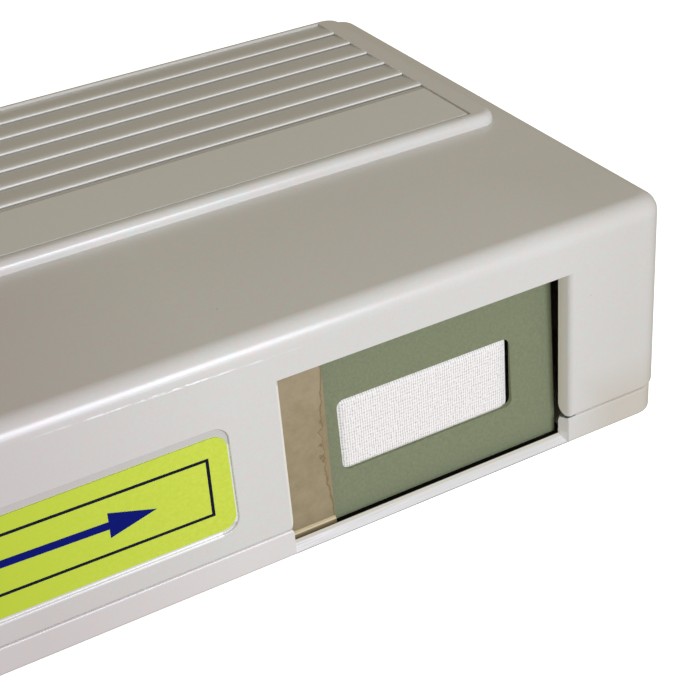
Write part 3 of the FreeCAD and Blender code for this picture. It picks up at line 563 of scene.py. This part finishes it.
def worn_edge(tree, place, colour):
    """The colour with a brown patch at the leading edge, widest at mid height, inside a thin dark line."""
    parts = add(tree, "SeparateXYZ", {"Vector": place})
    ragged = add(tree, "TexNoise", {"Vector": place, "Scale": per(WEAR_RAGGED_MM), "Detail": 4.0})
    depth = add(tree, "MapRange", {"Value": ragged.outputs["Fac"], "From Min": 0.3, "From Max": 0.7,
                                   "To Min": WEAR_LEAST * MM, "To Max": WEAR_REACH * MM})
    above = add(tree, "Math", {0: parts.outputs["Z"], 1: WEAR_MIDDLE * MM}, operation="SUBTRACT")
    apart = add(tree, "Math", {0: above.outputs["Value"]}, operation="ABSOLUTE")
    swell = add(tree, "MapRange", {"Value": apart.outputs["Value"], "From Max": WEAR_HALF * MM,
                                   "To Min": 1.0, "To Max": 0.12})
    reach = add(tree, "Math", {0: depth.outputs["Result"], 1: swell.outputs["Result"]}, operation="MULTIPLY")
    beyond = add(tree, "Math", {0: parts.outputs["X"], 1: reach.outputs["Value"]}, operation="ADD")
    past = add(tree, "Math", {0: beyond.outputs["Value"], 1: SHUTTER_EDGE}, operation="SUBTRACT")
    tinted = add(tree, "MapRange", {"Value": past.outputs["Value"], "From Max": WEAR_BORDER * MM,
                                    "To Max": 0.3})
    bare = add(tree, "Mix", {MIX_FACTOR: tinted.outputs["Result"], MIX_A: colour, MIX_B: linear("#86714A")},
               data_type="RGBA")
    near = add(tree, "Math", {0: past.outputs["Value"]}, operation="ABSOLUTE")
    line = add(tree, "MapRange", {"Value": near.outputs["Value"], "From Max": WEAR_LINE * MM,
                                  "To Min": 0.75, "To Max": 0.0})
    recoloured = add(tree, "Mix", {MIX_FACTOR: line.outputs["Result"], MIX_A: bare.outputs[MIX_COLOUR],
                             MIX_B: linear("#6F5A34")}, data_type="RGBA")
    return recoloured.outputs[MIX_COLOUR]


def lip_shade_and_highlight(tree, place, colour):
    """The colour with painted shade above the lip's fold and on the foot below it, and a painted highlight on
    the fold.
    """
    height = add(tree, "SeparateXYZ", {"Vector": place}).outputs["Z"]
    # Painted shade above the fold and at the foot, and a painted highlight on the fold
    shade = add(tree, "MapRange", {"Value": height, "From Min": (FOLD_Z + SHADE_ABOVE_FOLD[0]) * MM,
                                   "From Max": (FOLD_Z + SHADE_ABOVE_FOLD[1]) * MM, "To Min": 0.33, "To Max": 0.0})
    shaded_above_fold = add(tree, "Mix", {MIX_FACTOR: shade.outputs["Result"], MIX_A: colour, MIX_B: linear("#6E5F42")},
                  data_type="RGBA")
    foot = add(tree, "MapRange", {"Value": height, "From Min": FOOT_Z * MM, "From Max": FOLD_Z * MM,
                                  "To Min": 1.0, "To Max": 0.0})
    shaded_foot = add(tree, "Mix", {MIX_FACTOR: foot.outputs["Result"], MIX_A: shaded_above_fold.outputs[MIX_COLOUR],
                              MIX_B: linear("#5A4725")}, data_type="RGBA")
    over = add(tree, "Math", {0: height, 1: FOLD_Z * MM}, operation="SUBTRACT")
    apart = add(tree, "Math", {0: over.outputs["Value"]}, operation="ABSOLUTE")
    fold = add(tree, "MapRange", {"Value": apart.outputs["Value"], "From Min": FOLD_CORE * MM,
                                  "From Max": FOLD_HALF * MM, "To Min": 0.9, "To Max": 0.0})
    pale = add(tree, "Mix", {MIX_FACTOR: fold.outputs["Result"], MIX_A: shaded_foot.outputs[MIX_COLOUR],
                             MIX_B: linear("#DCCFAA")}, data_type="RGBA")
    return pale.outputs[MIX_COLOUR]


def handled_shutter(tree):
    """Tan plastic with blotches, paler towards the top, with a worn leading edge and a lip with painted shade
    and a painted highlight.
    """
    place = add(tree, "TexCoord").outputs["Object"]
    height = add(tree, "SeparateXYZ", {"Vector": place}).outputs["Z"]
    blotch = add(tree, "TexNoise", {"Vector": place, "Scale": per(BLOTCH_MM), "Detail": 5.0,
                                    "Roughness": 0.7})
    paler_up = add(tree, "MapRange", {"Value": height, "From Min": PALER_UP_Z[0] * MM, "From Max": PALER_UP_Z[1] * MM,
                                   "To Max": 0.2})
    uneven = add(tree, "Math", {0: blotch.outputs["Fac"], 1: paler_up.outputs["Result"]}, operation="ADD")
    patch = add(tree, "MapRange", {"Value": uneven.outputs["Value"], "From Min": 0.3, "From Max": 0.7})
    tan = add(tree, "Mix", {MIX_FACTOR: patch.outputs["Result"], MIX_A: linear("#928362"),
                            MIX_B: linear("#A39375")}, data_type="RGBA")
    recoloured = worn_edge(tree, place, tan.outputs[MIX_COLOUR])
    colour = lip_shade_and_highlight(tree, place, recoloured)
    grain = add(tree, "TexNoise", {"Vector": place, "Scale": per(SHUTTER_GRAIN_MM), "Detail": 2.0})
    bump = add(tree, "Bump", {"Height": grain.outputs["Fac"], "Strength": 0.3, "Distance": 0.03 * MM})
    return {"Base Color": colour, "Normal": bump.outputs["Normal"]}


finishes["shutter_tan"] = surface("handled_tan_plastic", {"Roughness": 0.6, "IOR": 1.49}, handled_shutter)
print("finish:", finishes["shutter_tan"].name)

# %% [markdown]
# ## Woven tape
# The cleaning tape is a fine woven microfibre. Threads that run up the tape stand out, the ones along it
# are sunk between them, and in the picture both can be counted. Two bands of waves that cross, one for each
# set of threads, give the rounds of the threads and the dark pinholes where four of them meet.

# %% Woven tape
THREAD_MM = 0.31
CROSS_THREAD_MM = 0.42
CROSS_HEIGHT = 0.45
SWAY_MM = 0.25
SWAY_LENGTH_MM = 1.0
FLUFF_MM = 0.35
# The wave texture advances by this many radians for each unit of its scale
WAVE_RADIANS = 20


def bands(pitch_mm):
    """The scale at which a wave texture repeats once per pitch."""
    return 2 * math.pi / (WAVE_RADIANS * pitch_mm * MM)


def woven_microfibre(tree):
    """White cloth with bright, uneven threads and small shaded pinholes between them."""
    cloth = add(tree, "UVMap").outputs["UV"]
    sway = add(tree, "TexNoise", {"Vector": cloth, "Scale": per(SWAY_LENGTH_MM), "Detail": 3.0})
    bent = add(tree, "VectorMath", {0: sway.outputs["Color"], 1: (SWAY_MM * MM, SWAY_MM * MM, 0.0), 2: cloth},
               operation="MULTIPLY_ADD").outputs["Vector"]
    thread = add(tree, "TexWave", {"Vector": bent, "Scale": bands(THREAD_MM)}, bands_direction="X")
    cross = add(tree, "TexWave", {"Vector": bent, "Scale": bands(CROSS_THREAD_MM)}, bands_direction="Y")
    weave = add(tree, "Math", {0: cross.outputs["Fac"], 1: CROSS_HEIGHT, 2: thread.outputs["Fac"]},
                operation="MULTIPLY_ADD")
    fluff = add(tree, "TexNoise", {"Vector": cloth, "Scale": per(FLUFF_MM), "Detail": 3.0, "Roughness": 0.7})
    loft = add(tree, "MapRange", {"Value": fluff.outputs["Fac"], "From Min": 0.35, "From Max": 0.65,
                                  "To Max": 0.8})
    height = add(tree, "Math", {0: weave.outputs["Value"], 1: loft.outputs["Result"]}, operation="ADD")
    lit = add(tree, "MapRange", {"Value": height.outputs["Value"], "From Min": -0.1, "From Max": 1.4})
    colour = add(tree, "Mix", {MIX_FACTOR: lit.outputs["Result"], MIX_A: linear("#B5B0AA"),
                               MIX_B: linear("#FEFAF5")}, data_type="RGBA")
    bump = add(tree, "Bump", {"Height": height.outputs["Value"], "Strength": 0.5, "Distance": 0.05 * MM})
    return {"Base Color": colour.outputs[MIX_COLOUR], "Normal": bump.outputs["Normal"]}


cloth_shine = {"Roughness": 0.9, "Sheen Weight": 0.3}
finishes["tape_cloth"] = surface("woven_microfibre", cloth_shine, woven_microfibre)
print("finish:", finishes["tape_cloth"].name, "at", THREAD_MM, "mm a thread")

# %% [markdown]
# ## Inner materials
# Inside are the parts that a bench would show: acetal reels and arm, steel wire and pins, a rubber pad and
# a felt washer. Acetal is milky and waxy, drawn wire has fine marks from its die, rubber is dull with a
# bloom, and felt is a tangle of fibres. None shows from outside, so each is kept to the detail that names it.

# %% Inner materials
FLOW_MM = 5
# Real marks of the die are finer than a view of the open case could show, so they are drawn coarser
DIE_MARK_MM = 0.4
BLOOM_MM = 3
FELT_TUFT_MM = 0.5


def milky_acetal(tree):
    """Natural acetal: milky white, waxy, with flow marks from the mould."""
    place = add(tree, "TexCoord").outputs["Object"]
    flow = add(tree, "TexNoise", {"Vector": place, "Scale": per(FLOW_MM), "Detail": 2.0})
    colour = add(tree, "Mix", {MIX_FACTOR: flow.outputs["Fac"], MIX_A: linear("#C6C4BC"),
                               MIX_B: linear("#D2D0C9")}, data_type="RGBA")
    return {"Base Color": colour.outputs[MIX_COLOUR]}


def drawn_steel(tree):
    """Drawn steel: bright, with marks of the die that blur what it mirrors."""
    place = add(tree, "TexCoord").outputs["Object"]
    marks = add(tree, "TexNoise", {"Vector": place, "Scale": per(DIE_MARK_MM), "Detail": 3.0})
    blur = add(tree, "MapRange", {"Value": marks.outputs["Fac"], "To Min": 0.18, "To Max": 0.38})
    return {"Base Color": linear("#C4C4C2"), "Roughness": blur.outputs["Result"]}


def soft_rubber(tree):
    """Moulded rubber: dark grey and dull, with a dusty bloom."""
    place = add(tree, "TexCoord").outputs["Object"]
    bloom = add(tree, "TexNoise", {"Vector": place, "Scale": per(BLOOM_MM), "Detail": 3.0})
    colour = add(tree, "Mix", {MIX_FACTOR: bloom.outputs["Fac"], MIX_A: linear("#545452"),
                               MIX_B: linear("#62625F")}, data_type="RGBA")
    return {"Base Color": colour.outputs[MIX_COLOUR]}


def pressed_felt(tree):
    """Pressed wool felt: a grey tangle of fibres, dull, with a faint sheen."""
    place = add(tree, "TexCoord").outputs["Object"]
    tangle = add(tree, "TexNoise", {"Vector": place, "Scale": per(FELT_TUFT_MM), "Detail": 5.0,
                                    "Distortion": 1.5})
    colour = add(tree, "Mix", {MIX_FACTOR: tangle.outputs["Fac"], MIX_A: linear("#7C7A72"),
                               MIX_B: linear("#96948B")}, data_type="RGBA")
    bump = add(tree, "Bump", {"Height": tangle.outputs["Fac"], "Strength": 0.8, "Distance": 0.1 * MM})
    return {"Base Color": colour.outputs[MIX_COLOUR], "Normal": bump.outputs["Normal"]}


finishes["inner_plastic"] = surface("milky_acetal", {"Roughness": 0.4, "IOR": 1.48}, milky_acetal)
finishes["steel"] = surface("drawn_steel", {"Metallic": 1.0}, drawn_steel)
finishes["pad_rubber"] = surface("soft_rubber", {"Roughness": 0.8, "IOR": 1.52}, soft_rubber)
finishes["felt"] = surface("pressed_felt", {"Roughness": 0.95, "Sheen Weight": 0.2}, pressed_felt)
print("finishes:", [finishes[k].name for k in ("inner_plastic", "steel", "pad_rubber", "felt")])

# %% [markdown]
# ## Dressing the nodes
# Each CAD node names the material slot that it takes, and there is now a finish for each slot. The finishes
# could be assigned by hand, but the record already holds the list, so a loop can't forget a node.

# %% Dressing the nodes
for subpart in frame["record"]["subparts"]:
    mesh = nodes[subpart["node"]].data
    mesh.materials.clear()
    mesh.materials.append(finishes[subpart["material_slot"]])

# %% [markdown]
# ## Print on the label
# The lime label has a thin dark frame and an arrow that points to the window, the way the wiping stroke
# goes. Ink could be painted in the film's material, but as thin pieces of their own, a fiftieth of a
# millimetre proud, the frame keeps sharp mitred corners and the arrow a crisp edge at any distance.

# %% Ink
LABEL_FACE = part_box("front_label")[0].y
INK = 0.02 * MM
INK_PATCH_MM = 0.8
MATT_INK = {"Roughness": 0.6, "Specular IOR Level": 0.1}


def ink(tree, dark, light):
    """Dried screen ink: flat colour with a slight unevenness in its coat."""
    place = add(tree, "TexCoord").outputs["Object"]
    coat = add(tree, "TexNoise", {"Vector": place, "Scale": per(INK_PATCH_MM), "Detail": 3.0})
    colour = add(tree, "Mix", {MIX_FACTOR: coat.outputs["Fac"], MIX_A: linear(dark), MIX_B: linear(light)},
                 data_type="RGBA")
    return {"Base Color": colour.outputs[MIX_COLOUR]}


def printed(name, points, faces, finish):
    """A flat print on the label, from points in the label's plane, in millimetres."""
    mesh = bpy.data.meshes.new(name)
    mesh.from_pydata([(x * MM, LABEL_FACE, z * MM) for x, z in points], [], faces)
    mesh.materials.append(finish)
    made = link(name, mesh)
    coat = made.modifiers.new("ink_coat", "SOLIDIFY")
    coat.thickness = INK
    coat.offset = 1
    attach(made, "case")
    return made


frame_ink = surface("dried_dark_ink", MATT_INK, lambda tree: ink(tree, "#0C1128", "#12172F"))
arrow_ink = surface("dried_navy_ink", MATT_INK, lambda tree: ink(tree, "#000F68", "#031371"))
print("inks:", frame_ink.name, arrow_ink.name)

# %% [markdown]
# ## Frame and arrow
# The frame is a rectangle inside a rectangle, joined at its corners by four mitred strips. The arrow is two
# faces, a head and a shaft. The label was stuck on by hand and sits a little askew, so the points are laid
# out straight, in millimetres, and then turned by a degree or two.

# %% Frame and arrow
FRAME_X = (-43.4, -5.38)
FRAME_Z = (10.32, 18.19)
FRAME_LINE = 0.38
FRAME_TILT = math.radians(-0.8)
ARROW_TIP = (-11.95, 14.23)
ARROW_HEAD = 5.6
ARROW_HALF_HEAD = 1.67
ARROW_HALF_SHAFT = 0.5
ARROW_LENGTH = 24.0
ARROW_TILT = math.radians(-1.7)


def tilted(points, pivot, tilt):
    """Points of a print, turned about a pivot in the label's plane."""
    turn = Quaternion((0, -1, 0), tilt)
    moved = [turn @ Vector((x - pivot[0], 0, z - pivot[1])) for x, z in points]
    return [(pivot[0] + p.x, pivot[1] + p.z) for p in moved]


def rectangle(inset):
    """The frame's corners, moved in by inset, anticlockwise as seen from the front."""
    x0, x1 = FRAME_X[0] + inset, FRAME_X[1] - inset
    z0, z1 = FRAME_Z[0] + inset, FRAME_Z[1] - inset
    return [(x0, z0), (x1, z0), (x1, z1), (x0, z1)]


def arrow_point(back, up):
    """A point behind the arrow's tip and above its middle line."""
    return ARROW_TIP[0] - back, ARROW_TIP[1] + up


mitred = [(i, (i + 1) % 4, (i + 1) % 4 + 4, i + 4) for i in range(4)]
frame_points = tilted(rectangle(0) + rectangle(FRAME_LINE), (FRAME_X[1], FRAME_Z[0]), FRAME_TILT)
printed("label_frame", frame_points, mitred, frame_ink)
arrow = [arrow_point(*p) for p in (
    (0, 0), (ARROW_HEAD, ARROW_HALF_HEAD), (ARROW_HEAD, ARROW_HALF_SHAFT), (ARROW_LENGTH, ARROW_HALF_SHAFT),
    (ARROW_LENGTH, -ARROW_HALF_SHAFT), (ARROW_HEAD, -ARROW_HALF_SHAFT), (ARROW_HEAD, -ARROW_HALF_HEAD))]
printed("label_arrow", tilted(arrow, ARROW_TIP, ARROW_TILT), [(0, 1, 2, 5, 6), (2, 3, 4, 5)], arrow_ink)
print("printed frame", FRAME_X, FRAME_Z, "mm")

# %% [markdown]
# ## The run of tape
# From the supply roll the tape goes round the right roller, flat over the pad in the window, round the left
# roller and on to the take-up roll. A belt touches its pulleys along common tangents, so the round nodes and
# the pad's corners fix its path completely. The ribbon carries its own distance as UV, so the weave is even.

# %% The run of tape
TAPE_LIFT = 0.2 * MM
TAPE_CLOTH = 0.12 * MM
TAPE_LOW, TAPE_HIGH = (corner.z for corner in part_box("cleaning_tape"))
PAD_CORNER = 0.35 * MM
PAD_SLACK = 0.2 * MM
ARC_STEP = math.radians(6)


def pulley(node):
    """Centre and radius of a round node, seen from above."""
    low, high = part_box(node)
    return Vector(((low.x + high.x) / 2, (low.y + high.y) / 2)), (high.x - low.x) / 2


def on_circle(centre, radius, bearing):
    """The point of a circle at a bearing from its centre."""
    return centre + radius * Vector((math.cos(bearing), math.sin(bearing)))


def arc(centre, radius, start, end):
    """Points along a circle, close enough together to look round."""
    steps = math.ceil((end - start) / ARC_STEP)
    return [on_circle(centre, radius, start + (end - start) * i / max(steps, 1)) for i in range(steps + 1)]


def touch(near, near_r, far, far_r):
    """The bearing at which one line passes two circles on their right."""
    way = far - near
    return math.atan2(way.y, way.x) - math.acos((near_r - far_r) / way.length)


def belt(pulleys):
    """The path of a tape that starts on the first pulley and passes the others on its way to the last."""
    path = []
    arriving = None
    for (near, near_r), (far, far_r) in zip(pulleys, pulleys[1:]):
        leaving = touch(near, near_r + TAPE_LIFT, far, far_r + TAPE_LIFT)
        path += arc(near, near_r + TAPE_LIFT, leaving if arriving is None else arriving, leaving)
        arriving = leaving
    return path + [on_circle(far, far_r + TAPE_LIFT, arriving)]


pad_low, pad_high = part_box("presser_pad")
pad_ends = [Vector((x, pad_low.y + PAD_CORNER)) for x in (pad_low.x + PAD_CORNER, pad_high.x + PAD_SLACK)]
route = belt([pulley("used_tape"), pulley("guide_roller_left"), (pad_ends[0], PAD_CORNER),
              (pad_ends[1], PAD_CORNER), pulley("guide_roller_right"), pulley("fresh_tape")])
print("tape path:", len(route), "points")

# %% [markdown]
# ## Cloth in the window
# The tape is woven microfibre, slit to width. In the window the soft pad behind it pushes it forward, nearly
# flush with the plate, and lets it fall away at the edges of the opening. The ribbon is a grid along the
# path, fine enough over the pad that it can be pushed out there as one smooth cushion.

# %% Cloth in the window
TAPE_ROWS = 47
TAPE_STEP = 0.4 * MM
CROWN = 0.55 * MM
CROWN_Z = (7.05 * MM, 16.9 * MM)
CROWN_POWER = 30


def closer(path, step):
    """The same path with points no further apart than one step."""
    fine = [path[0]]
    for a, b in zip(path, path[1:]):
        count = math.ceil((b - a).length / step)
        fine += [a.lerp(b, i / count) for i in range(1, count + 1)]
    return fine


def cushion(value, low, high):
    """How far a soft pad rises at a place across it: one in the middle, none at the ends and beyond."""
    across = min(1, abs(2 * value - low - high) / (high - low))
    return 1 - across ** CROWN_POWER


def ribbon(name, path, rows, body, replaced):
    """A strip of cloth that follows a path from above, with its length and height as UV in metres."""
    heights = [TAPE_LOW + (TAPE_HIGH - TAPE_LOW) * k / (rows - 1) for k in range(rows)]
    corners = [i * rows + k for i in range(len(path) - 1) for k in range(rows - 1)]
    mesh = bpy.data.meshes.new(name)
    mesh.from_pydata([(p.x, p.y, z) for p in path for z in heights], [],
                     [(a, a + rows, a + rows + 1, a + 1) for a in corners])
    mesh.materials.append(finishes["tape_cloth"])
    along = [0.0]
    for a, b in zip(path, path[1:]):
        along.append(along[-1] + (b - a).length)
    uv = mesh.uv_layers.new(name="cloth")
    for loop in mesh.loops:
        column, row = divmod(loop.vertex_index, rows)
        uv.data[loop.index].uv = (along[column], heights[row])
    mesh.shade_smooth()
    made = link(name, mesh)
    thick = made.modifiers.new("cloth_thickness", "SOLIDIFY")
    thick.thickness = TAPE_CLOTH
    thick.offset = 0
    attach(made, body)
    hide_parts(replaced)
    return made, along[-1]


tape, tape_length = ribbon("woven_tape", closer(route, TAPE_STEP), TAPE_ROWS, "case", "cleaning_tape")
for vert in tape.data.vertices:
    if vert.co.y < pad_ends[0].y:
        vert.co.y -= CROWN * cushion(vert.co.x, pad_ends[0].x, pad_ends[1].x) * cushion(vert.co.z, *CROWN_Z)
print("tape between the rolls:", round(tape_length / MM, 1), "mm")

# %% [markdown]
# ## The rolls of tape
# On the reels the same tape is wound in a flat spiral, one lap further out on each turn. A spiral is a circle
# whose radius grows with its bearing, so each roll is one long ribbon, and its length follows from the hub,
# the roll's outside and the lap.

# %% The rolls of tape
HUB_R = 7.0 * MM
LAP = 0.3 * MM
WIND_STEP = math.radians(7.5)
ROLL_ROWS = 2


def wound(node):
    """A spiral from the hub to the outside of a roll."""
    centre, outside = pulley(node)
    inner, outer = HUB_R + LAP / 2, outside - LAP / 2
    steps = round((outer - inner) / LAP * 2 * math.pi / WIND_STEP)
    return [on_circle(centre, inner + (outer - inner) * i / steps, i * WIND_STEP) for i in range(steps + 1)]


for name, body, node, reel in (("used_roll", "take_up", "used_tape", "take_up_reel"),
                               ("fresh_roll", "supply", "fresh_tape", "supply_reel")):
    roll, roll_length = ribbon(name, wound(node), ROLL_ROWS, body, node)
    print(name, "holds", round(roll_length, 2), "m")

# %% [markdown]
# ## Presser pad
# Behind the window a soft rubber pad presses the tape forward. It is a moulded block whose face is crowned,
# so that the middle of the tape meets the connector first. A cube is cut into small squares, each point is
# drawn in a little near the edges, which rounds them, and the face is raised by the same cushion as the tape.

# %% Presser pad
PAD_CUTS = 15
PAD_PULL = 0.03
PAD_PULL_POWER = 8
PAD_CROWN = 0.3 * MM
CUBE_FRONT = -0.999


def rounded(x, y, z):
    """A point of the unit cube, drawn in where two or three of its faces come near."""
    def pull(a, b):
        """The share of a coordinate that is kept, from the other two."""
        return 1 - PAD_PULL * (a ** PAD_PULL_POWER + b ** PAD_PULL_POWER) / 2

    return Vector((x * pull(y, z), y * pull(x, z), z * pull(x, y)))


middle, half = (pad_low + pad_high) / 2, (pad_high - pad_low) / 2
form = bmesh.new()
bmesh.ops.create_cube(form, size=2)
bmesh.ops.subdivide_edges(form, edges=form.edges[:], cuts=PAD_CUTS, use_grid_fill=True)
for vert in form.verts:
    in_front = vert.co.y < CUBE_FRONT
    vert.co = middle + rounded(*vert.co) * half
    if in_front:
        across = cushion(vert.co.x, pad_low.x, pad_high.x)
        vert.co.y -= PAD_CROWN * across * cushion(vert.co.z, pad_low.z, pad_high.z)
pad_mesh = bpy.data.meshes.new("crowned_pad")
form.to_mesh(pad_mesh)
form.free()
pad_mesh.shade_smooth()
pad_mesh.materials.append(finishes["pad_rubber"])
pad = link("crowned_pad", pad_mesh)
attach(pad, "case")
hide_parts("presser_pad")
print("pad", [round(2 * v / MM, 2) for v in half], "mm")
